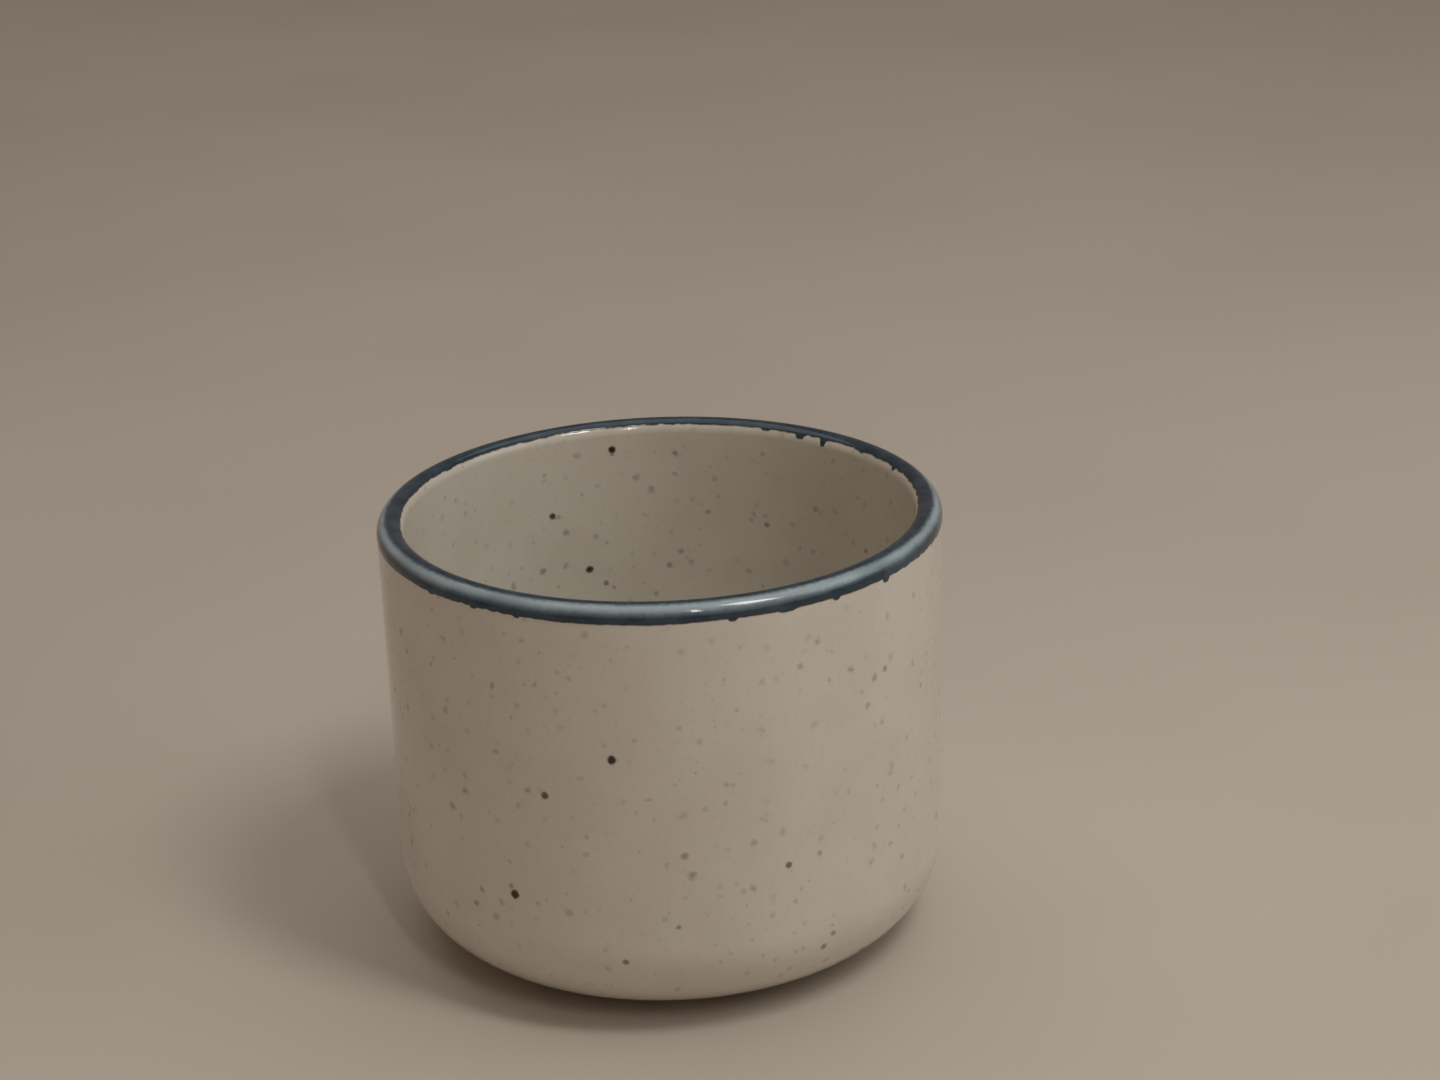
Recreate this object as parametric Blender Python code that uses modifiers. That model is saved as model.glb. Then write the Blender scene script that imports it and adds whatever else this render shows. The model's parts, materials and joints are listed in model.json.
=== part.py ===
"""A straight-sided stoneware mug without a handle: fired clay body, cream glaze coats, blue lip band.

Metres, +Z up. The origin is the middle of the foot ring's underside, on the mug's own axis.
Every piece is turned about that axis, so each one is a profile in the XZ plane swept by a Screw.
"""

import math

import bmesh
import bpy

# Driving dimensions of the finished mug, with both glaze coats on
RIM_RADIUS = 0.0450       # outer wall at the lip
DRAFT = 0.0002            # the wall is this much narrower where the lower corner begins
HEIGHT = 0.0725           # counter to the top of the lip
WALL = 0.0043             # whole wall
CORNER = 0.0144           # radius of the rounded lower corner
UNDERSIDE = 0.0015        # height of the outer bottom above the counter
FLOOR_TOP = 0.0070        # height of the inner floor above the counter
INNER_CORNER = 0.0120     # radius between the inner wall and the floor
FOOT_RADIUS = 0.0280      # outer side of the foot ring
FOOT_WIDTH = 0.0038
FOOT_EDGE = 0.0005        # rounding of the foot ring's two edges
RECESS = 0.0022           # height of the glazed base inside the foot ring
BAND_OUTSIDE = 0.0029     # how far the blue band reaches down outside, from the top of the lip
BAND_END = 150            # where it ends inside, in degrees round the lip from its outer side
COAT = 0.00045            # thickness of a glaze coat
GAP = 0.0003              # clearance between neighbouring solids

TURN_STEPS = 64
LIP_STEPS = 6
LIP_END_STEPS = 2
CORNER_STEPS = 8
INNER_CORNER_STEPS = 6
FOOT_EDGE_STEPS = 2

# Places worked out from them
LIP_RADIUS = WALL / 2
LIP_CENTRE = (RIM_RADIUS - LIP_RADIUS, HEIGHT - LIP_RADIUS)
CORNER_CENTRE = (RIM_RADIUS - DRAFT - CORNER, UNDERSIDE + CORNER)
INNER_CENTRE = (RIM_RADIUS - WALL - INNER_CORNER, FLOOR_TOP + INNER_CORNER)
CLAY_INSET = COAT + GAP
GAP_ANGLE = math.degrees(GAP / (LIP_RADIUS - COAT))


def arc(centre, radius, start, end, steps):
    """Points on an arc in the XZ plane, from start to end in degrees, where 0 is +X and 90 is +Z."""
    points = []
    for step in range(steps + 1):
        angle = math.radians(start + (end - start) * step / steps)
        points.append((centre[0] + radius * math.cos(angle), centre[1] + radius * math.sin(angle)))
    return points


def outer_radius(z):
    """The finished outer wall's radius at a height between the corner and the lip."""
    top, bottom = LIP_CENTRE[1], CORNER_CENTRE[1]
    return RIM_RADIUS - DRAFT * (top - z) / (top - bottom)


def lip(inset, start, end, steps):
    """Round the lip, where 180 is its inner side, 90 its top and 0 its outer side."""
    return arc(LIP_CENTRE, LIP_RADIUS - inset, start, end, steps)


def outer_corner(inset):
    """Round the lower corner, from the outer wall to the underside."""
    return arc(CORNER_CENTRE, CORNER - inset, 0, -90, CORNER_STEPS)


def inner_corner(inset):
    """Round the inner corner, from the floor to the inner wall."""
    return arc(INNER_CENTRE, INNER_CORNER + inset, -90, 0, INNER_CORNER_STEPS)


def clay_profile():
    """From the middle of the inner floor up the inner wall, over the lip, and down to the foot ring."""
    foot_outer = arc((FOOT_RADIUS - FOOT_EDGE, FOOT_EDGE), FOOT_EDGE, 0, -90, FOOT_EDGE_STEPS)
    foot_inner_side = FOOT_RADIUS - FOOT_WIDTH
    foot_inner = arc((foot_inner_side + FOOT_EDGE, FOOT_EDGE), FOOT_EDGE, -90, -180, FOOT_EDGE_STEPS)
    return [
        (0, FLOOR_TOP - CLAY_INSET),
        *inner_corner(CLAY_INSET),
        *lip(CLAY_INSET, 180, 0, LIP_STEPS),
        *outer_corner(CLAY_INSET),
        (FOOT_RADIUS, UNDERSIDE + CLAY_INSET),
        *foot_outer,
        *foot_inner,
        (foot_inner_side, RECESS + CLAY_INSET),
        (0, RECESS + CLAY_INSET),
    ]


def outer_glaze_profile():
    """Down the outside from the blue band to the foot ring, then back up behind it."""
    top = HEIGHT - BAND_OUTSIDE - GAP
    foot_side = FOOT_RADIUS + GAP
    return [
        (outer_radius(top), top),
        *outer_corner(0),
        (foot_side, UNDERSIDE),
        (foot_side, UNDERSIDE + COAT),
        *reversed(outer_corner(COAT)),
        (outer_radius(top) - COAT, top),
    ]


def inner_glaze_profile():
    """From the middle of the floor up the inner wall and on to the blue band, then back behind it."""
    end = BAND_END + GAP_ANGLE
    return [
        (0, FLOOR_TOP),
        *inner_corner(0),
        *lip(0, 180, end, LIP_END_STEPS),
        *lip(COAT, end, 180, LIP_END_STEPS),
        *reversed(inner_corner(COAT)),
        (0, FLOOR_TOP - COAT),
    ]


def rim_band_profile():
    """Over the lip from inside to outside and a little way down, then back under the coat."""
    bottom = HEIGHT - BAND_OUTSIDE
    return [
        *lip(0, BAND_END, 0, LIP_STEPS),
        (outer_radius(bottom), bottom),
        (outer_radius(bottom) - COAT, bottom),
        *lip(COAT, 0, BAND_END, LIP_STEPS),
    ]


def glaze_material(name, colour, roughness):
    material = bpy.data.materials.new(name)
    material.use_nodes = True
    surface = material.node_tree.nodes["Principled BSDF"]
    surface.inputs["Base Color"].default_value = (*colour, 1.0)
    surface.inputs["Roughness"].default_value = roughness
    surface.inputs["Metallic"].default_value = 0.0
    return material


def add_to_mug(obj, material):
    obj.data.materials.append(material)
    mug.objects.link(obj)


def turn(name, profile, closed, material):
    """A solid turned from its profile: closed is True where the profile is a loop clear of the axis."""
    mesh = bpy.data.meshes.new(name)
    shape = bmesh.new()
    points = [shape.verts.new((x, 0, z)) for x, z in profile]
    for first, second in zip(points, points[1:]):
        shape.edges.new((first, second))
    if closed:
        shape.edges.new((points[-1], points[0]))
    shape.to_mesh(mesh)
    shape.free()
    obj = bpy.data.objects.new(name, mesh)
    add_to_mug(obj, material)
    screw = obj.modifiers.new("turn", "SCREW")
    screw.axis = "Z"
    screw.steps = screw.render_steps = TURN_STEPS
    screw.use_merge_vertices = True
    screw.merge_threshold = 0.00001
    screw.use_smooth_shade = True
    return obj


def base_disc(name, material):
    """The pool of glaze on the base, inside the foot ring."""
    mesh = bpy.data.meshes.new(name)
    shape = bmesh.new()
    radius = FOOT_RADIUS - FOOT_WIDTH - GAP
    bmesh.ops.create_cone(
        shape, cap_ends=True, segments=TURN_STEPS, radius1=radius, radius2=radius, depth=COAT
    )
    shape.to_mesh(mesh)
    shape.free()
    mesh.shade_smooth()
    mesh.set_sharp_from_angle(angle=math.radians(40))
    obj = bpy.data.objects.new(name, mesh)
    add_to_mug(obj, material)
    obj.location.z = RECESS + COAT / 2
    return obj


for old in list(bpy.data.objects):
    bpy.data.objects.remove(old, do_unlink=True)

mug = bpy.data.collections.new("stoneware_mug")
bpy.context.scene.collection.children.link(mug)

fired_clay = glaze_material("fired_clay", (0.50, 0.39, 0.28), 0.85)
outer_cream = glaze_material("outer_cream_glaze", (0.64, 0.58, 0.50), 0.14)
inner_cream = glaze_material("inner_cream_glaze", (0.64, 0.58, 0.50), 0.12)
base_cream = glaze_material("base_cream_glaze", (0.60, 0.54, 0.46), 0.18)
band_blue = glaze_material("blue_band_glaze", (0.060, 0.105, 0.165), 0.12)

turn("clay_body", clay_profile(), False, fired_clay)
turn("outer_glaze", outer_glaze_profile(), True, outer_cream)
turn("inner_glaze", inner_glaze_profile(), False, inner_cream)
turn("rim_band", rim_band_profile(), True, band_blue)
base_disc("base_glaze", base_cream)
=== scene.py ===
"""A low stoneware mug without a handle: fired clay, cream glaze inside and out, a blue band on the lip."""

import json
import math
import random

import bpy
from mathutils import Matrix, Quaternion, Vector

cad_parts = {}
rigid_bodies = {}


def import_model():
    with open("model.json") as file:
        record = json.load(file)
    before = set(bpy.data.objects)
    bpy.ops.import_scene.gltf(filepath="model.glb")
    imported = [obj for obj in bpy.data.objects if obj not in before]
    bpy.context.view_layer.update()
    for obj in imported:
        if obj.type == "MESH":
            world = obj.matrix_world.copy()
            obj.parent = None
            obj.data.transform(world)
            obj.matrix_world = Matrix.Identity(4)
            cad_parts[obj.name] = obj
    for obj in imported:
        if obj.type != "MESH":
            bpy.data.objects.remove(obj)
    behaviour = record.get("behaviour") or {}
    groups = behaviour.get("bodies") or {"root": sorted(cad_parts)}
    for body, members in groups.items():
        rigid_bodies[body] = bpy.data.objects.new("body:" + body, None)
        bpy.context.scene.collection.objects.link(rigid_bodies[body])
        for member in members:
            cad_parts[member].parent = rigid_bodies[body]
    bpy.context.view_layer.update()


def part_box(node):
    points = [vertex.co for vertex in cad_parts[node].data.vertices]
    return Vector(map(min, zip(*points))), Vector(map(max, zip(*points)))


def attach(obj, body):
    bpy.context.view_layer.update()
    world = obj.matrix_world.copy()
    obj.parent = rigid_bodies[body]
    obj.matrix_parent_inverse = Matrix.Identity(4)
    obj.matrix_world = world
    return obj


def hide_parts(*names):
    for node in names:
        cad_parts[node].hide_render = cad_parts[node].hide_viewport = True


for old in list(bpy.data.objects):
    bpy.data.objects.remove(old, do_unlink=True)
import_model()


# ---------------------------------------------------------------------------------------------------
# Fired clay
# One turned piece of buff stoneware: wall, floor and foot ring together, fired hard and dense. It is
# bare only on the foot ring, which was wiped clean so that the mug would not stick to the kiln shelf.

glaze_low, glaze_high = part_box("base_glaze")
coat = glaze_high.z - glaze_low.z
recess = glaze_low.z
rim_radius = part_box("rim_band")[1].x
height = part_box("rim_band")[1].z
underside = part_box("outer_glaze")[0].z
floor_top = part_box("inner_glaze")[0].z + coat

wall = 0.0043             # the whole wall, with the glaze on both sides
draft = 0.0002            # how much narrower the wall is where the lower corner starts
corner = 0.0144           # radius of the lower corner outside
inner_corner = 0.0120     # radius between the wall and the floor inside
foot_radius = 0.0280      # outer side of the foot ring
foot_width = 0.0038
foot_edge = 0.0005        # rounding of the foot ring's two edges

inner_foot = foot_radius - foot_width
hairline = 0.00002        # between the clay and a coat's back
inset = coat + hairline

lip_radius = wall / 2
lip_centre = (rim_radius - lip_radius, height - lip_radius)
corner_centre = (rim_radius - draft - corner, underside + corner)
inner_centre = (rim_radius - wall - inner_corner, floor_top + inner_corner)

kiln_warp = 0.00016       # how far the lip went out of true in the firing
sway_noise = 17.0         # how closely its waves in and out, and up and down, follow one another
lift_noise = 11.9

wall_steps = 360          # steps round the axis
crease = 35               # an edge that bends by more degrees than this stays crisp
foot_edge_steps = 8
foot_side_rows = 4
foot_land_rows = 8
hidden_lip_steps = 16
hidden_corner_steps = 16
hidden_inner_steps = 12

dark_buff = (0.46, 0.34, 0.23, 1)
light_buff = (0.58, 0.46, 0.34, 1)
sand_brown = (0.30, 0.21, 0.14, 1)
burnt_iron = (0.10, 0.05, 0.03, 1)
sand_relief = 0.00006


def arc(centre, bend, start, end, steps):
    """Points round a bend in the plane of radius and height, where 0 degrees is outwards and 90 is up."""
    points = []
    for step in range(steps + 1):
        angle = math.radians(start + (end - start) * step / steps)
        points.append((centre[0] + bend * math.cos(angle), centre[1] + bend * math.sin(angle)))
    return points


def stretch(start, end, steps):
    """The points between two ends, without the ends themselves."""
    return [
        tuple(a + (b - a) * step / steps for a, b in zip(start, end))
        for step in range(1, steps)
    ]


class Wiring:
    """A node tree written as Python. add() makes a node, and the wire it gives back does arithmetic."""

    def __init__(self, tree):
        self.tree = tree

    def add(self, kind, settings=None, sockets=None, output=0):
        node = self.tree.nodes.new(kind)
        for name, value in (settings or {}).items():
            setattr(node, name, value)
        for name, value in (sockets or {}).items():
            self.feed(node.inputs[name], value)
        return Wire(self, node.outputs[output])

    def feed(self, socket, value):
        if isinstance(value, Wire):
            self.tree.links.new(value.socket, socket)
        else:
            socket.default_value = value

    def maths(self, operation, *values):
        return self.add("ShaderNodeMath", {"operation": operation}, dict(enumerate(values)))

    def vector(self, operation, *values):
        return self.add("ShaderNodeVectorMath", {"operation": operation}, dict(enumerate(values)))

    def scaled(self, vector, factor):
        """A vector made this many times as long."""
        return self.add("ShaderNodeVectorMath", {"operation": "SCALE"}, {0: vector, "Scale": factor})

    def parts(self, vector):
        """The X, Y and Z of a vector."""
        node = self.add("ShaderNodeSeparateXYZ", None, {"Vector": vector}).socket.node
        return [Wire(self, socket) for socket in node.outputs]

    def joined(self, x, y, z):
        return self.add("ShaderNodeCombineXYZ", None, {"X": x, "Y": y, "Z": z})

    def noise(self, place, scale, detail=2.0, output=0):
        """A cloudy pattern: about scale waves to a metre, with detail finer layers on top."""
        sockets = {"Vector": place, "Scale": scale, "Detail": detail}
        return self.add("ShaderNodeTexNoise", None, sockets, output)

    def blend(self, factor, first, second):
        """From the first colour to the second."""
        sockets = {0: factor, 6: first, 7: second}
        return self.add("ShaderNodeMix", {"data_type": "RGBA"}, sockets, 2)


class Wire:
    """One output of a node."""

    def __init__(self, wiring, socket):
        self.wiring = wiring
        self.socket = socket

    def __add__(self, other):
        return self.wiring.maths("ADD", self, other)

    def __sub__(self, other):
        return self.wiring.maths("SUBTRACT", self, other)

    def __rsub__(self, other):
        return self.wiring.maths("SUBTRACT", other, self)

    def __mul__(self, other):
        return self.wiring.maths("MULTIPLY", self, other)

    def __truediv__(self, other):
        return self.wiring.maths("DIVIDE", self, other)

    def __abs__(self):
        return self.wiring.maths("ABSOLUTE", self)

    __radd__ = __add__
    __rmul__ = __mul__

    def least(self, other):
        return self.wiring.maths("MINIMUM", self, other)

    def most(self, other):
        return self.wiring.maths("MAXIMUM", self, other)

    def rise(self, start, end, low=0.0, high=1.0):
        """Goes smoothly from low to high while this goes from start to end."""
        sockets = {"Value": self, "From Min": start, "From Max": end, "To Min": low, "To Max": high}
        return self.wiring.add("ShaderNodeMapRange", {"interpolation_type": "SMOOTHSTEP"}, sockets)


def making_tree(name, inputs):
    """A Geometry Nodes tree with these named inputs: its wiring, and the wire of each input by name."""
    tree = bpy.data.node_groups.new(name, "GeometryNodeTree")
    tree.interface.new_socket("Geometry", in_out="OUTPUT", socket_type="NodeSocketGeometry")
    for label, kind in {"Geometry": "Geometry", **inputs}.items():
        tree.interface.new_socket(label, in_out="INPUT", socket_type="NodeSocket" + kind)
    wiring = Wiring(tree)
    entry = tree.nodes.new("NodeGroupInput")
    return wiring, {socket.name: Wire(wiring, socket) for socket in entry.outputs if socket.name}


def end_tree(wiring, shape, material):
    """Ends a tree in a smooth, realised mesh with its material."""
    shape = wiring.add("GeometryNodeSetShadeSmooth", None, {"Geometry": shape})
    shape = wiring.add("GeometryNodeRealizeInstances", None, {"Geometry": shape})
    shape = wiring.add("GeometryNodeSetMaterial", None, {"Geometry": shape, "Material": material})
    wiring.feed(wiring.tree.nodes.new("NodeGroupOutput").inputs["Geometry"], shape)


def made(name, start, tree, values):
    """The plain mesh that a tree makes from a starting mesh, on an object at the origin."""
    piece = bpy.data.objects.new(name, start)
    bpy.context.scene.collection.objects.link(piece)
    modifier = piece.modifiers.new("make", "NODES")
    modifier.node_group = tree
    for item in tree.interface.items_tree:
        if item.in_out == "INPUT" and item.name in values:
            modifier[item.identifier] = values[item.name]
    graph = bpy.context.evaluated_depsgraph_get()
    mesh = bpy.data.meshes.new_from_object(piece.evaluated_get(graph), depsgraph=graph)
    piece.modifiers.remove(modifier)
    piece.data = mesh
    mesh.name = name
    mesh.set_sharp_from_angle(angle=math.radians(crease))
    return piece


def line_of(points):
    """A mesh of one line in the plane of radius and height."""
    mesh = bpy.data.meshes.new("outline")
    links = [(first, first + 1) for first in range(len(points) - 1)]
    mesh.from_pydata([(across, 0, up) for across, up in points], links, [])
    return mesh


def out_of_true(wiring, place, warp):
    """A place moved as the kiln moved it: not at all at the foot, and most at the lip."""
    x, y, z = wiring.parts(place)
    share = z / height
    sway = (wiring.noise(place, sway_noise, 0.0) - 0.5) * 2 * warp * share
    lift = (wiring.noise(place, lift_noise, 0.0) - 0.5) * 2 * warp * share
    spread = 1 + sway / rim_radius
    return wiring.joined(x * spread, y * spread, z + lift)


def sheet_of(wiring, columns, outline):
    """A grid to wrap round the axis, with one row for each point of an outline. Gives the grid, the
    angle of each of its points, and the place of the outline point that each belongs to."""
    rows = wiring.add("GeometryNodeAttributeDomainSize", {"component": "MESH"}, {"Geometry": outline})
    sockets = {"Size X": 1.0, "Size Y": 1.0, "Vertices X": columns + 1, "Vertices Y": rows}
    grid = wiring.add("GeometryNodeMeshGrid", None, sockets)
    position = wiring.add("GeometryNodeInputPosition")
    across, down, _ = wiring.parts(position)
    index = wiring.maths("ROUND", (down + 0.5) * (rows - 1))
    settings = {"data_type": "FLOAT_VECTOR", "domain": "POINT"}
    sockets = {"Geometry": outline, "Value": position, "Index": index}
    return grid, (across + 0.5) * math.tau, wiring.add("GeometryNodeSampleIndex", settings, sockets)


def wrapped(wiring, grid, place):
    """The grid moved into place, with its seam and poles closed and its faces turned outwards."""
    shape = wiring.add("GeometryNodeSetPosition", None, {"Geometry": grid, "Position": place})
    shape = wiring.add("GeometryNodeMergeByDistance", None, {"Geometry": shape, "Distance": 1e-6})
    return wiring.add("GeometryNodeFlipFaces", None, {"Mesh": shape})


def wheel_tree():
    """Turns an outline about the axis. The outline runs down its outer side."""
    inputs = {"Turn Steps": "Int", "Kiln Warp": "Float", "Finish": "Material"}
    wiring, given = making_tree("turned_on_the_wheel", inputs)
    grid, angle, point = sheet_of(wiring, given["Turn Steps"], given["Geometry"])
    across, _, up = wiring.parts(point)
    place = wiring.joined(across * wiring.maths("COSINE", angle), across * wiring.maths("SINE", angle), up)
    shape = wrapped(wiring, grid, out_of_true(wiring, place, given["Kiln Warp"]))
    end_tree(wiring, shape, given["Finish"])
    return wiring.tree


wheel = wheel_tree()


def turned(name, outline, finish, steps=wall_steps, warp=kiln_warp):
    """A piece turned from its outline."""
    return made(name, line_of(outline), wheel, {"Turn Steps": steps, "Kiln Warp": warp, "Finish": finish})


def new_finish(name, roughness):
    """An empty finish: its wiring, its Principled node and the place on the piece."""
    finish = bpy.data.materials.new(name)
    finish.use_nodes = True
    wiring = Wiring(finish.node_tree)
    surface = finish.node_tree.nodes["Principled BSDF"]
    surface.inputs["Roughness"].default_value = roughness
    place = wiring.add("ShaderNodeTexCoord", None, None, "Object")
    return finish, wiring, surface, place


def press(wiring, surface, depth, relief):
    """Gives the surface relief: depth is in metres from relief 0 to relief 1."""
    sockets = {"Strength": 1.0, "Distance": depth, "Height": relief}
    wiring.feed(surface.inputs["Normal"], wiring.add("ShaderNodeBump", None, sockets))


def bare_clay():
    """Dry buff stoneware with sand in it and a few burnt iron grains."""
    finish, wiring, surface, place = new_finish("bare_clay", 0.85)
    cloud = wiring.noise(place, 160, 3.0)
    sand = wiring.noise(place, 2600, 2.0)
    colour = wiring.blend(cloud.rise(0.3, 0.7), dark_buff, light_buff)
    colour = wiring.blend(sand.rise(0.58, 0.72) * 0.35, colour, sand_brown)
    grain = wiring.add("ShaderNodeTexVoronoi", None, {"Vector": place, "Scale": 700.0}, "Distance")
    colour = wiring.blend(1 - grain.rise(0.10, 0.22), colour, burnt_iron)
    wiring.feed(surface.inputs["Base Color"], colour)
    wiring.feed(surface.inputs["Roughness"], sand.rise(0.3, 0.8, 0.75, 0.95))
    press(wiring, surface, sand_relief, sand)
    return finish


clay_body = turned(
    "fired_clay_body",
    [
        (0, floor_top - inset),
        *arc(inner_centre, inner_corner + inset, -90, 0, hidden_inner_steps),
        *arc(lip_centre, lip_radius - inset, 180, 0, hidden_lip_steps),
        *arc(corner_centre, corner - inset, 0, -90, hidden_corner_steps),
        (foot_radius, underside + inset),
        *stretch((foot_radius, underside + inset), (foot_radius, foot_edge), foot_side_rows),
        *arc((foot_radius - foot_edge, foot_edge), foot_edge, 0, -90, foot_edge_steps),
        *stretch((foot_radius - foot_edge, 0), (inner_foot + foot_edge, 0), foot_land_rows),
        *arc((inner_foot + foot_edge, foot_edge), foot_edge, -90, -180, foot_edge_steps),
        *stretch((inner_foot, foot_edge), (inner_foot, recess + inset), foot_side_rows),
        (inner_foot, recess + inset),
        (0, recess + inset),
    ],
    bare_clay(),
)
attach(clay_body, "root")
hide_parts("clay_body")


# ---------------------------------------------------------------------------------------------------
# Cream glaze outside
# A glossy cream glaze poured over the body and melted onto it in the kiln, so it is smooth as glass
# with a faint ripple. It goes under the blue band at the lip, round the lower corner and to the foot.

creep = 0.0007            # how far the glaze creeps along the foot ring
lip_rows = 12
wall_rows = 16
corner_rows = 28
creep_rows = 8
back_lip_rows = 8

cream = (0.705, 0.665, 0.600, 1)
thin_cream = (0.625, 0.575, 0.505, 1)
deep_stain = (0.235, 0.210, 0.180, 1)
lining_shade_tint = (0.885, 0.892, 0.868, 1)   # painted shade: the lining is made darker and a little greener, for the shade inside the mug
large_stain = 0.0021
large_stain_spacing = 0.0032
small_stain = 0.0010
small_stain_spacing = 0.0023
stain_wander = 0.0015     # how far a stain's edge strays from round
glaze_relief = 0.00003


def stains(wiring, place, spacing, size, share):
    """Faint soft spots, of all sizes up to this one, in this share of the cells of a loose pattern."""
    cell = {"Vector": place, "Scale": 1 / spacing}
    deep = wiring.add("ShaderNodeTexVoronoi", None, cell, "Distance") * spacing
    chance, width, depth = wiring.parts(wiring.add("ShaderNodeTexVoronoi", None, cell, "Color"))
    edge = (width * 0.6 + 0.4) * (size / 2)
    spot = 1 - (deep / edge).rise(0.15, 1.0)
    return spot * chance.rise(1 - share, 1.02 - share) * (depth * 0.65 + 0.35)


def cream_colour(wiring, place, shaded_lining=0.0):
    """The cream glaze's colour: clouded where it is thinner, with faint stains of iron deep in it.
    Shaded lining is 0 outside and 1 in the lining, which is painted darker and a little greener as
    shade inside the mug, and where the stains are stronger."""
    cloud = wiring.noise(place, 75, 3.0)
    colour = wiring.blend(cloud.rise(0.35, 0.70) * 0.40, cream, thin_cream)
    haze = wiring.noise(place, 1100, 2.0)
    colour = wiring.blend(haze.rise(0.50, 0.85) * 0.10, colour, deep_stain)
    wander = wiring.vector("SUBTRACT", wiring.noise(place, 800, 3.0, "Color"), (0.5, 0.5, 0.5))
    ragged = wiring.vector("MULTIPLY_ADD", wander, (stain_wander, stain_wander, stain_wander), place)
    large = stains(wiring, ragged, large_stain_spacing, large_stain, 0.95)
    small = stains(wiring, ragged, small_stain_spacing, small_stain, 0.50)
    gather = wiring.noise(place, 42, 1.0).rise(0.35, 0.62, 0.55, 1.0)
    spots = large.most(small * 0.8) * gather * (shaded_lining * 0.14 + 0.68)
    colour = wiring.blend(spots, colour, deep_stain)
    # painted shade: the lining is multiplied by a darker, greener tint
    settings = {"data_type": "RGBA", "blend_type": "MULTIPLY"}
    return wiring.add("ShaderNodeMix", settings, {0: shaded_lining, 6: colour, 7: lining_shade_tint}, 2)


def cream_finish(name, roughness, shaded_lining=0.0):
    """Glossy cream glaze with a slow ripple and faint pitting."""
    finish, wiring, surface, place = new_finish(name, roughness)
    wiring.feed(surface.inputs["Base Color"], cream_colour(wiring, place, shaded_lining))
    ripple = wiring.noise(place, 130, 2.0)
    pitting = wiring.noise(place, 700, 2.0)
    wiring.feed(surface.inputs["Roughness"], pitting.rise(0.3, 0.8, roughness * 0.75, roughness * 1.3))
    press(wiring, surface, glaze_relief, ripple + pitting * 0.35)
    return finish


outer_glaze = turned(
    "cream_glaze_outside",
    [
        *arc(lip_centre, lip_radius, 90, 0, lip_rows),
        *stretch((rim_radius, lip_centre[1]), (rim_radius - draft, corner_centre[1]), wall_rows),
        *arc(corner_centre, corner, 0, -90, corner_rows),
        *arc((foot_radius + creep, underside - creep), creep, 90, 180, creep_rows),
        (foot_radius - hairline, underside - creep),
        (foot_radius - hairline, underside + coat),
        *arc(corner_centre, corner - coat, -90, 0, corner_rows // 2),
        *arc(lip_centre, lip_radius - coat, 0, 90, back_lip_rows),
        (lip_centre[0], height),
    ],
    cream_finish("outer_cream", 0.13),
)
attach(outer_glaze, "root")
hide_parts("outer_glaze")


# ---------------------------------------------------------------------------------------------------
# Cream glaze inside
# The same glaze, swilled round inside, with painted shade: its colour is made darker and a little
# # greener for the shade inside the mug. It lines the floor, the round corner and the wall, and meets
# # the outer glaze on top of the lip, under the blue band.

floor_rows = 10
inner_corner_rows = 24

inner_glaze = turned(
    "cream_glaze_inside",
    [
        (0, floor_top),
        *stretch((0, floor_top), (inner_centre[0], floor_top), floor_rows),
        *arc(inner_centre, inner_corner, -90, 0, inner_corner_rows),
        *stretch((rim_radius - wall, inner_centre[1]), (rim_radius - wall, lip_centre[1]), wall_rows),
        *arc(lip_centre, lip_radius, 180, 90, lip_rows),
        *arc(lip_centre, lip_radius - coat, 90, 180, back_lip_rows),
        *arc(inner_centre, inner_corner + coat, 0, -90, inner_corner_rows // 2),
        (0, floor_top - coat),
    ],
    cream_finish("inner_cream", 0.12, shaded_lining=1.0),
)
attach(inner_glaze, "root")
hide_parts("inner_glaze")


# ---------------------------------------------------------------------------------------------------
# Glaze under the base
# A thin pool of the cream glaze in the shallow recess inside the foot ring. It creeps a little way
# down the ring's inner side and stops short of the bare clay.

base_steps = 160
base_creep_rows = 10
base_rows = 8

base_glaze = turned(
    "cream_glaze_base",
    [
        (0, recess + coat),
        (inner_foot + hairline, recess + coat),
        *arc((inner_foot + hairline - creep, recess - creep), creep, 0, 90, base_creep_rows),
        *stretch((inner_foot - creep, recess), (0, recess), base_rows),
        (0, recess),
    ],
    cream_finish("base_cream", 0.2),
    steps=base_steps,
    warp=0.0,
)
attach(base_glaze, "root")
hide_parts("base_glaze")


# ---------------------------------------------------------------------------------------------------
# Blue band
# A slate-blue glaze brushed on the lip over the cream while the mug turned. It ran in the kiln, so its
# # edges are ragged with small drips, and it thinned to a pale line on the lip's outer shoulder. The
# # palest middle of that line is partly the thinned glaze and partly a painted highlight.

band_lift = 0.00007       # how far the blue stands proud of the cream
band_sink = 0.00006       # how far down into the cream it goes
band_round = 0.05         # share of its width that rounds off at each edge
band_steps = 1200         # steps round the axis
band_top_steps = 26
band_bottom_steps = 12

# The band's two edges, and the pale line's steps from dark to pale and back, are places along the
# lip's surface, in metres from its widest place outside, over its top and on to its inner side.
outer_edge = -0.0006
inner_edge = 0.0053
shoulder_rise = (0.0002, 0.0013)
shoulder_fall = (0.0022, 0.0031)
crest_rise = (0.0009, 0.0018)
crest_fall = (0.0020, 0.0028)
lining_starts = (0.0030, 0.0040)    # where the cream beneath turns to that of the lining

outer_raggedness = 0.00045
inner_raggedness = 0.00055
band_relief = 0.00003

slate_dark = (0.014, 0.034, 0.058, 1)
slate_light = (0.034, 0.066, 0.100, 1)
slate_fleck = (0.012, 0.022, 0.036, 1)
pale_shoulder = (0.165, 0.215, 0.245, 1)
# the pale line's middle: partly thinned glaze, partly a painted highlight
crest_pale_and_highlight = (0.365, 0.455, 0.500, 1)
edge_dark = (0.028, 0.032, 0.038, 1)

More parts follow.
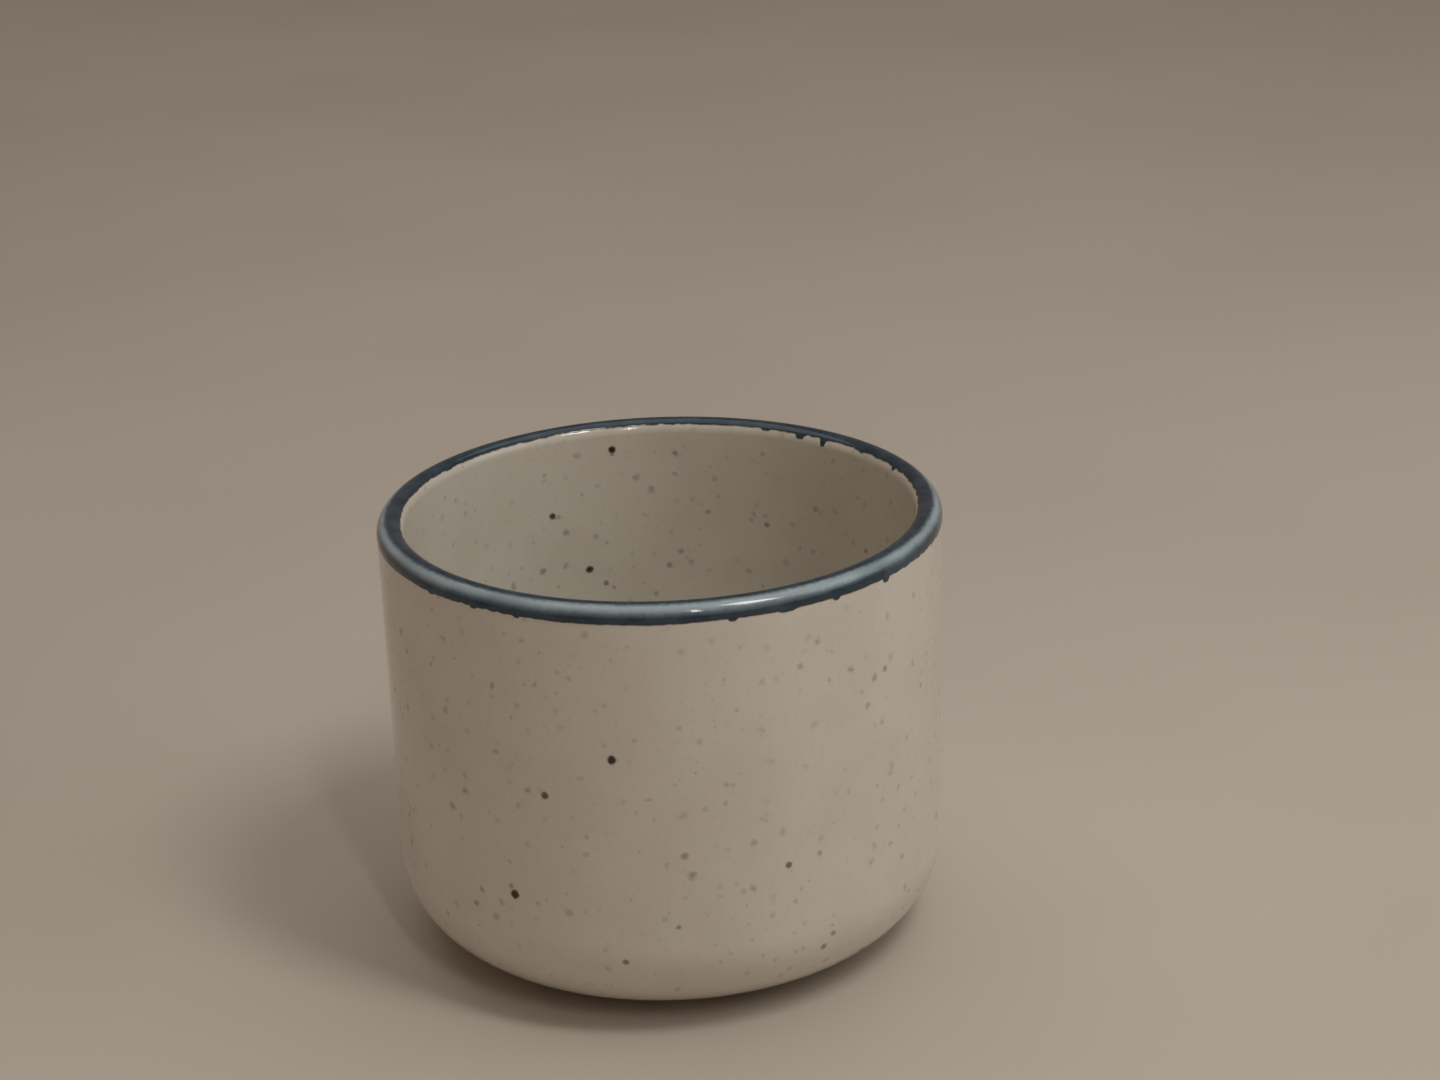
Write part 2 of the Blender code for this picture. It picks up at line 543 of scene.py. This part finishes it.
# Each drip's angle from the front in degrees, to the right, then its length and half its width
outer_drips = [
    (-51, 0.0003, 0.0009),
    (-39, 0.0004, 0.0008),
    (-29, 0.0003, 0.0007),
    (13, 0.0004, 0.0009),
    (24, 0.0003, 0.0018),
    (35, 0.0004, 0.0008),
    (48.6, 0.0007, 0.0010),
    (97, 0.0008, 0.0008),
    (163, 0.0006, 0.0007),
    (-141, 0.0009, 0.0008),
    (-95, 0.0005, 0.0010),
]
inner_drips = [
    (110, 0.0006, 0.0008),
    (124, 0.0003, 0.0008),
    (136.4, 0.0003, 0.0016),
    (136.7, 0.0010, 0.0008),
    (143.5, 0.0007, 0.0013),
    (153, 0.0003, 0.0011),
    (-20, 0.0010, 0.0010),
    (35, 0.0014, 0.0009),
]


def band_section():
    """The band's closed cross-section: share of the way across it, and height from the cream's surface."""
    top = []
    for step in range(band_top_steps + 1):
        share = (1 - math.cos(math.pi * step / band_top_steps)) / 2
        side = min(share, 1 - share, band_round) / band_round
        top.append((share, band_lift * math.sqrt(1 - (1 - side) ** 2)))
    bottom = [(step / band_bottom_steps, -band_sink) for step in range(band_bottom_steps + 1)]
    return [*reversed(top), *bottom, top[-1]]


def run_of(wiring, angle, around, drips, ragged):
    """How much further than usual the blue runs at an angle, along the surface."""
    slow = wiring.noise(around, 75, 1.0) - 0.5
    fine = wiring.noise(around, 560, 3.0) - 0.5
    patch = wiring.noise(around, 30, 0.0).rise(0.38, 0.62, 0.35, 1.0)
    run = slow * ragged + fine * (patch * ragged * 1.6)
    for degrees, length, half_width in drips:
        gap = abs(wiring.maths("WRAP", angle - math.radians(degrees - 90), math.pi, -math.pi))
        run = run + (1 - gap * (rim_radius / half_width)).most(0.0).rise(0.0, 0.6) * length
    return run


def band_tree():
    """Lays the band over the lip between its ragged edges. The start mesh is its cross-section."""
    inputs = {
        "Turn Steps": "Int",
        "Outer Edge": "Float",
        "Inner Edge": "Float",
        "Outer Raggedness": "Float",
        "Inner Raggedness": "Float",
        "Kiln Warp": "Float",
        "Finish": "Material",
    }
    wiring, given = making_tree("band_on_the_lip", inputs)
    grid, angle, row = sheet_of(wiring, given["Turn Steps"], given["Geometry"])
    share, _, proud = wiring.parts(row)
    turn_x = wiring.maths("COSINE", angle)
    turn_y = wiring.maths("SINE", angle)
    around = wiring.joined(turn_x * rim_radius, turn_y * rim_radius, 0.0)
    start = given["Outer Edge"] - run_of(wiring, angle, around, outer_drips, given["Outer Raggedness"])
    around = wiring.joined(turn_x * rim_radius, turn_y * rim_radius, 0.1)
    end = given["Inner Edge"] + run_of(wiring, angle, around, inner_drips, given["Inner Raggedness"])
    along = start + (end - start) * share

    half_round = lip_radius * math.pi
    bend = along.most(0.0).least(half_round) / lip_radius
    below = (0 - along).most(0.0) + (along - half_round).most(0.0)
    reach = proud + lip_radius
    across = wiring.maths("COSINE", bend) * reach + lip_centre[0]
    up = wiring.maths("SINE", bend) * reach + lip_centre[1] - below
    place = wiring.joined(turn_x * across, turn_y * across, up)

    store = {"data_type": "FLOAT", "domain": "POINT"}
    sockets = {"Geometry": grid, "Name": "along", "Value": along}
    grid = wiring.add("GeometryNodeStoreNamedAttribute", store, sockets)
    sockets = {"Geometry": grid, "Name": "from_edge", "Value": (along - start).least(end - along)}
    grid = wiring.add("GeometryNodeStoreNamedAttribute", store, sockets)
    shape = wrapped(wiring, grid, out_of_true(wiring, place, given["Kiln Warp"]))
    end_tree(wiring, shape, given["Finish"])
    return wiring.tree


def band_finish():
    """Slate blue, darkest at its ragged edges, with a pale blue-grey line where it thinned, palest
    along its middle, which is partly the thinned glaze and partly a painted highlight.
    """
    finish, wiring, surface, place = new_finish("blue_band", 0.12)
    along = wiring.add("ShaderNodeAttribute", {"attribute_name": "along"}, None, "Fac")
    from_edge = wiring.add("ShaderNodeAttribute", {"attribute_name": "from_edge"}, None, "Fac")
    cloud = wiring.noise(place, 260, 3.0)
    fleck = wiring.noise(place, 1500, 3.0)
    along = along + (fleck - 0.5) * 0.0004 + (cloud - 0.5) * 0.0005
    colour = wiring.blend(cloud.rise(0.32, 0.68), slate_dark, slate_light)
    colour = wiring.blend(fleck.rise(0.5, 0.72) * 0.5, colour, slate_fleck)
    strength = wiring.noise(place, 90, 1.0).rise(0.25, 0.6, 0.60, 0.95)
    shoulder = along.rise(*shoulder_rise) * (1 - along.rise(*shoulder_fall))
    colour = wiring.blend(shoulder * strength, colour, pale_shoulder)
    # partly a painted highlight: the palest blue along the middle of the thinned line
    crest_and_highlight = along.rise(*crest_rise) * (1 - along.rise(*crest_fall))
    colour = wiring.blend(crest_and_highlight * strength, colour, crest_pale_and_highlight)
    ring = 1 - from_edge.rise(0.00015, 0.0007)
    colour = wiring.blend(ring * 0.75, colour, edge_dark)
    melt = 1 - (from_edge + (fleck - 0.5) * 0.0002).rise(-0.00003, 0.00020)
    colour = wiring.blend(melt, colour, cream_colour(wiring, place, along.rise(*lining_starts)))
    wiring.feed(surface.inputs["Base Color"], colour)
    wiring.feed(surface.inputs["Roughness"], cloud.rise(0.3, 0.8, 0.09, 0.17))
    press(wiring, surface, band_relief, wiring.noise(place, 420, 2.0))
    return finish


blue_band = made(
    "blue_band",
    line_of(band_section()),
    band_tree(),
    {
        "Turn Steps": band_steps,
        "Outer Edge": outer_edge,
        "Inner Edge": inner_edge,
        "Outer Raggedness": outer_raggedness,
        "Inner Raggedness": inner_raggedness,
        "Kiln Warp": kiln_warp,
        "Finish": band_finish(),
    },
)
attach(blue_band, "root")
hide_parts("rim_band")


# ---------------------------------------------------------------------------------------------------
# Iron specks
# Grains of iron in the clay that melted and came up through the cream glaze, a few of them as small
# dark blisters and most as faint brown stains. Each is a thin lens on the wall, hardly proud of it.

speck_swell = 0.020       # how far a speck's middle stands up, as a share of its size
speck_skin = 0.000004     # how far its edge stands off the wall
speck_raggedness = 0.36
speck_brown = (0.090, 0.050, 0.026, 1)
speck_black = (0.030, 0.019, 0.012, 1)

# The specks that aren't placed one by one: how many, and the ranges that they are drawn from
outer_dark = 22
inner_dark = 18
outer_faint = 90
inner_faint = 110
outer_heights = (0.0045, 0.0685)
inner_heights = (0.0100, 0.0690)
outer_clear = (-84, 84)   # between these angles from the front, no dark speck is drawn
inner_clear = (100, 262)
outer_seed = 11
inner_seed = 23
dark_sizes = (0.0009, 0.0018)
dark_iron = (0.6, 1.1)    # at the largest size, and less in a smaller one
faint_sizes = (0.0008, 0.0016)
faint_iron = (0.10, 0.28)

# Each placed speck's angle from the front in degrees, to the right, its height above the table, its
# size, and how much iron is in it, which makes it dark
outer_specks = [
    (-11, 0.0480, 0.0019, 1.00),
    (-33, 0.0230, 0.0020, 1.00),
    (-33.8, 0.0243, 0.0013, 0.50),
    (-25, 0.0410, 0.0015, 0.78),
    (23, 0.0280, 0.0015, 0.72),
    (-10, 0.0140, 0.0014, 0.70),
    (31, 0.0120, 0.0015, 0.62),
    (0.6, 0.0200, 0.0012, 0.60),
    (33, 0.0140, 0.0014, 0.56),
    (45, 0.0066, 0.0018, 0.70),
    (48, 0.0550, 0.0014, 0.48),
    (16, 0.0330, 0.0016, 0.30),
    (-31, 0.0385, 0.0014, 0.28),
    (13.5, 0.0250, 0.0014, 0.24),
    (6.6, 0.0395, 0.0014, 0.24),
    (-17, 0.0320, 0.0014, 0.24),
    (-2, 0.0215, 0.0013, 0.22),
    (-14, 0.0160, 0.0013, 0.22),
    (12, 0.0430, 0.0013, 0.22),
    (-15, 0.0680, 0.0016, 0.25),
]
inner_specks = [
    (-169, 0.0680, 0.0018, 1.00),
    (-168.9, 0.0672, 0.0010, 0.60),
    (-153, 0.0575, 0.0016, 0.85),
    (-162, 0.0465, 0.0018, 0.90),
    (-166, 0.0435, 0.0013, 0.65),
    (-168, 0.0425, 0.0011, 0.45),
    (122, 0.0545, 0.0013, 0.60),
    (153, 0.0545, 0.0014, 0.60),
    (139, 0.0590, 0.0015, 0.42),
    (168, 0.0560, 0.0014, 0.40),
    (166, 0.0620, 0.0014, 0.30),
    (157, 0.0550, 0.0013, 0.28),
    (178, 0.0460, 0.0015, 0.48),
    (175, 0.0485, 0.0014, 0.38),
    (158, 0.0455, 0.0014, 0.34),
    (140, 0.0510, 0.0014, 0.32),
    (-164, 0.0525, 0.0015, 0.34),
]


def outer_radius(up):
    """The outer wall's radius at a height."""
    if up > corner_centre[1]:
        return rim_radius - draft * (lip_centre[1] - up) / (lip_centre[1] - corner_centre[1])
    return corner_centre[0] + math.sqrt(corner ** 2 - (corner_centre[1] - up) ** 2)


def inner_radius(up):
    """The inner wall's radius at a height."""
    if up > inner_centre[1]:
        return rim_radius - wall
    return inner_centre[0] + math.sqrt(inner_corner ** 2 - (inner_centre[1] - up) ** 2)


def scattered(specks, radius_at, heights, dark, faint, clear, seed):
    """The specks as points with their sizes: those placed one by one, then others here and there.
    The others that are dark keep out of the clear angles, where the placed ones are."""
    draw = random.Random(seed)
    found = list(specks)
    for _ in range(dark):
        angle = draw.uniform(clear[1], clear[0] + 360)
        up = draw.uniform(*heights)
        size = draw.uniform(*dark_sizes)
        found.append((angle, up, size, draw.uniform(*dark_iron) * size / dark_sizes[1]))
    for _ in range(faint):
        angle = draw.uniform(-180, 180)
        up = draw.uniform(*heights)
        found.append((angle, up, draw.uniform(*faint_sizes), draw.uniform(*faint_iron)))
    mesh = bpy.data.meshes.new("speck_places")
    places = []
    for angle, up, _, _ in found:
        turn = math.radians(angle - 90)
        across = radius_at(up)
        places.append((across * math.cos(turn), across * math.sin(turn), up))
    mesh.from_pydata(places, [], [])
    for name, column in {"size": 2, "iron": 3}.items():
        layer = mesh.attributes.new(name, "FLOAT", "POINT")
        layer.data.foreach_set("value", [speck[column] for speck in found])
    return mesh


def speck_shape():
    """One speck before it is laid on the wall: a flat disc of two faces, one across. Each of its points
    knows how proud it will stand: 1 in the middle of the front, 0 at the edge, and -1 at the back."""
    sides = 12
    rings = [(0.17, 0.92), (0.34, 0.60), (0.5, 0.0)]    # how far out, and how proud
    points = [(0, 0, 0)]
    prouds = [1.0]
    for across, proud in rings:
        for side in range(sides):
            turn = math.tau * side / sides
            points.append((across * math.cos(turn), across * math.sin(turn), 0))
            prouds.append(proud)
    points.append((0, 0, 0))
    prouds.append(-1.0)
    faces = []
    for side in range(sides):
        ahead = (side + 1) % sides
        faces.append((0, 1 + side, 1 + ahead))
        for ring in range(len(rings) - 1):
            near = 1 + ring * sides
            far = near + sides
            faces.append((near + side, far + side, far + ahead, near + ahead))
        last = 1 + (len(rings) - 1) * sides
        faces.append((last + side, len(points) - 1, last + ahead))
    mesh = bpy.data.meshes.new("speck_shape")
    mesh.from_pydata(points, [], faces)
    layer = mesh.attributes.new("proud", "FLOAT", "POINT")
    layer.data.foreach_set("value", prouds)
    return mesh


def speck_tree():
    """Lays a speck on the wall at each point of the start mesh."""
    inputs = {
        "Speck": "Object",
        "Wall": "Object",
        "Swell": "Float",
        "Skin": "Float",
        "Raggedness": "Float",
        "Finish": "Material",
    }
    wiring, given = making_tree("iron_specks", inputs)
    position = wiring.add("GeometryNodeInputPosition")
    normal = wiring.add("GeometryNodeInputNormal")
    wall_shape = wiring.add("GeometryNodeObjectInfo", None, {"Object": given["Wall"]}, "Geometry")
    speck = wiring.add("GeometryNodeObjectInfo", None, {"Object": given["Speck"]}, "Geometry")
    nearest = {"Mesh": wall_shape, "Value": normal, "Sample Position": position}
    outwards = wiring.add("GeometryNodeSampleNearestSurface", {"data_type": "FLOAT_VECTOR"}, nearest)
    size = wiring.add("GeometryNodeInputNamedAttribute", {"data_type": "FLOAT"}, {"Name": "size"})
    proud = wiring.add("GeometryNodeInputNamedAttribute", {"data_type": "FLOAT"}, {"Name": "proud"})
    points = wiring.add("GeometryNodeMeshToPoints", None, {"Mesh": given["Geometry"]})
    facing = wiring.add("FunctionNodeAlignRotationToVector", {"axis": "Z"}, {"Vector": outwards})
    sockets = {"Points": points, "Instance": speck, "Rotation": facing, "Scale": size}
    laid = wiring.add("GeometryNodeInstanceOnPoints", None, sockets)
    laid = wiring.add("GeometryNodeRealizeInstances", None, {"Geometry": laid})
    wander = wiring.vector("SUBTRACT", wiring.noise(position, 950, 1.0, "Color"), (0.5, 0.5, 0.5))
    far = wiring.scaled(wander, size * given["Raggedness"])
    laid = wiring.add("GeometryNodeSetPosition", None, {"Geometry": laid, "Offset": far})
    target = {"Geometry": wall_shape, "Sample Position": position}
    touching = wiring.add("GeometryNodeProximity", {"target_element": "FACES"}, target, "Position")
    lift = wiring.scaled(outwards, proud * size * given["Swell"] + given["Skin"])
    sockets = {"Geometry": laid, "Position": wiring.vector("ADD", touching, lift)}
    laid = wiring.add("GeometryNodeSetPosition", None, sockets)
    end_tree(wiring, laid, given["Finish"])
    return wiring.tree


def speck_finish(name, shaded_lining):
    """Cream glaze stained with iron: black in the middle of a dark speck, and fading out at its edge."""
    finish, wiring, surface, place = new_finish(name, 0.13)
    iron = wiring.add("ShaderNodeAttribute", {"attribute_name": "iron"}, None, "Fac")
    proud = wiring.add("ShaderNodeAttribute", {"attribute_name": "proud"}, None, "Fac")
    grain = wiring.noise(place, 3000, 2.0) - 0.5
    middle = (proud + grain * 0.5).rise(0.0, 1.35 - iron * 0.5)
    colour = wiring.blend(middle * iron, cream_colour(wiring, place, shaded_lining), speck_brown)
    core = (proud + grain * 0.4).rise(0.35, 1.0) * iron.rise(0.6, 1.0)
    colour = wiring.blend(core, colour, speck_black)
    wiring.feed(surface.inputs["Base Color"], colour)
    return finish


speck = bpy.data.objects.new("speck_shape", speck_shape())
bpy.context.scene.collection.objects.link(speck)
lay_specks = speck_tree()


def specks_on(name, places, wall_piece, shaded_lining):
    """Lays specks on a wall piece, in the places given by points with sizes."""
    values = {
        "Speck": speck,
        "Wall": wall_piece,
        "Swell": speck_swell,
        "Skin": speck_skin,
        "Raggedness": speck_raggedness,
        "Finish": speck_finish(name, shaded_lining),
    }
    specks = made(name, places, lay_specks, values)
    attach(specks, "root")


specks_on(
    "iron_specks_outside",
    scattered(
        outer_specks, outer_radius, outer_heights, outer_dark, outer_faint, outer_clear, outer_seed
    ),
    outer_glaze,
    shaded_lining=0.0,
)
specks_on(
    "iron_specks_inside",
    scattered(
        inner_specks, inner_radius, inner_heights, inner_dark, inner_faint, inner_clear, inner_seed
    ),
    inner_glaze,
    shaded_lining=1.0,
)
bpy.data.objects.remove(speck)


# ---------------------------------------------------------------------------------------------------
# Table, light and camera
# A plain pale table top. A small key light stands high on the right, with a wide soft light overhead,
# soft ones low on the right and left, a thin one that glints on the lip, and a little warm light from
# all round. The camera looks down into the mug from the front.

floor_half = 3.0
table_pale = (0.60, 0.552, 0.488, 1)
table_deeper = (0.56, 0.513, 0.450, 1)
room_warm = (1.0, 0.72, 0.54, 1)
room_strength = 0.175

floor_mesh = bpy.data.meshes.new("table_top")
floor_mesh.from_pydata(
    [
        (-floor_half, -floor_half, 0),
        (floor_half, -floor_half, 0),
        (floor_half, floor_half, 0),
        (-floor_half, floor_half, 0),
    ],
    [],
    [(0, 1, 2, 3)],
)
table_top = bpy.data.objects.new("table_top", floor_mesh)
bpy.context.scene.collection.objects.link(table_top)


def table_finish():
    """A matt pale stone colour, very slightly clouded."""
    finish, wiring, surface, place = new_finish("pale_table", 0.55)
    cloud = wiring.noise(place, 6, 3.0)
    colour = wiring.blend(cloud.rise(0.3, 0.75), table_pale, table_deeper)
    wiring.feed(surface.inputs["Base Color"], colour)
    return finish


floor_mesh.materials.append(table_finish())

world = bpy.data.worlds.new("room")
world.use_nodes = True
backdrop = world.node_tree.nodes["Background"]
backdrop.inputs["Color"].default_value = room_warm
backdrop.inputs["Strength"].default_value = room_strength
bpy.context.scene.world = world


def soft_light(name, azimuth, elevation, distance, size, power, colour):
    """A rectangular light facing the mug. Azimuth is in degrees from the front, to the right."""
    lamp = bpy.data.lights.new(name, "AREA")
    lamp.shape = "RECTANGLE"
    lamp.size, lamp.size_y = size
    lamp.energy = power
    lamp.color = colour
    turn = math.radians(azimuth)
    rise = math.radians(elevation)
    away = Vector((math.sin(turn) * math.cos(rise), -math.cos(turn) * math.cos(rise), math.sin(rise)))
    light = bpy.data.objects.new(name, lamp)
    light.location = away * distance + Vector((0, 0, height / 2))
    light.rotation_mode = "QUATERNION"
    light.rotation_quaternion = away.to_track_quat("Z", "Y")
    bpy.context.scene.collection.objects.link(light)


soft_light("key_light", 50, 60, 0.75, (0.13, 0.24), 1.38, (1.0, 0.985, 0.92))
soft_light("right_light", 82, 34, 1.10, (0.60, 0.60), 1.30, (0.95, 0.99, 1.0))
soft_light("top_light", -170, 74, 1.30, (1.50, 1.10), 3.8, (0.96, 0.99, 0.98))
soft_light("fill_light", 40, 20, 1.20, (1.2, 0.6), 0.50, (0.98, 1.0, 0.98))
soft_light("glint_light", 14, 46, 0.90, (0.04, 0.25), 0.60, (1.0, 0.98, 0.95))
soft_light("left_light", -100, 22, 1.00, (0.30, 0.60), 0.12, (1.0, 0.92, 0.80))

sight_distance = 0.479    # from the middle of the lip's plane, and how high above that plane
sight_angle = math.radians(19.91)
pitch = math.radians(20.67)
yaw = math.radians(1.21)
roll = math.radians(-1.81)
eye = bpy.data.cameras.new("camera")
eye.lens = 75.0
eye.sensor_width = 36.0
eye.clip_start = 0.01
camera = bpy.data.objects.new("camera", eye)
camera.location = (
    0,
    -sight_distance * math.cos(sight_angle),
    height + sight_distance * math.sin(sight_angle),
)
forwards = Vector((math.sin(yaw) * math.cos(pitch), math.cos(yaw) * math.cos(pitch), -math.sin(pitch)))
camera.rotation_mode = "QUATERNION"
camera.rotation_quaternion = forwards.to_track_quat("-Z", "Y") @ Quaternion((0, 0, 1), roll)
bpy.context.scene.collection.objects.link(camera)
bpy.context.scene.camera = camera
bpy.context.scene.view_settings.view_transform = "Standard"
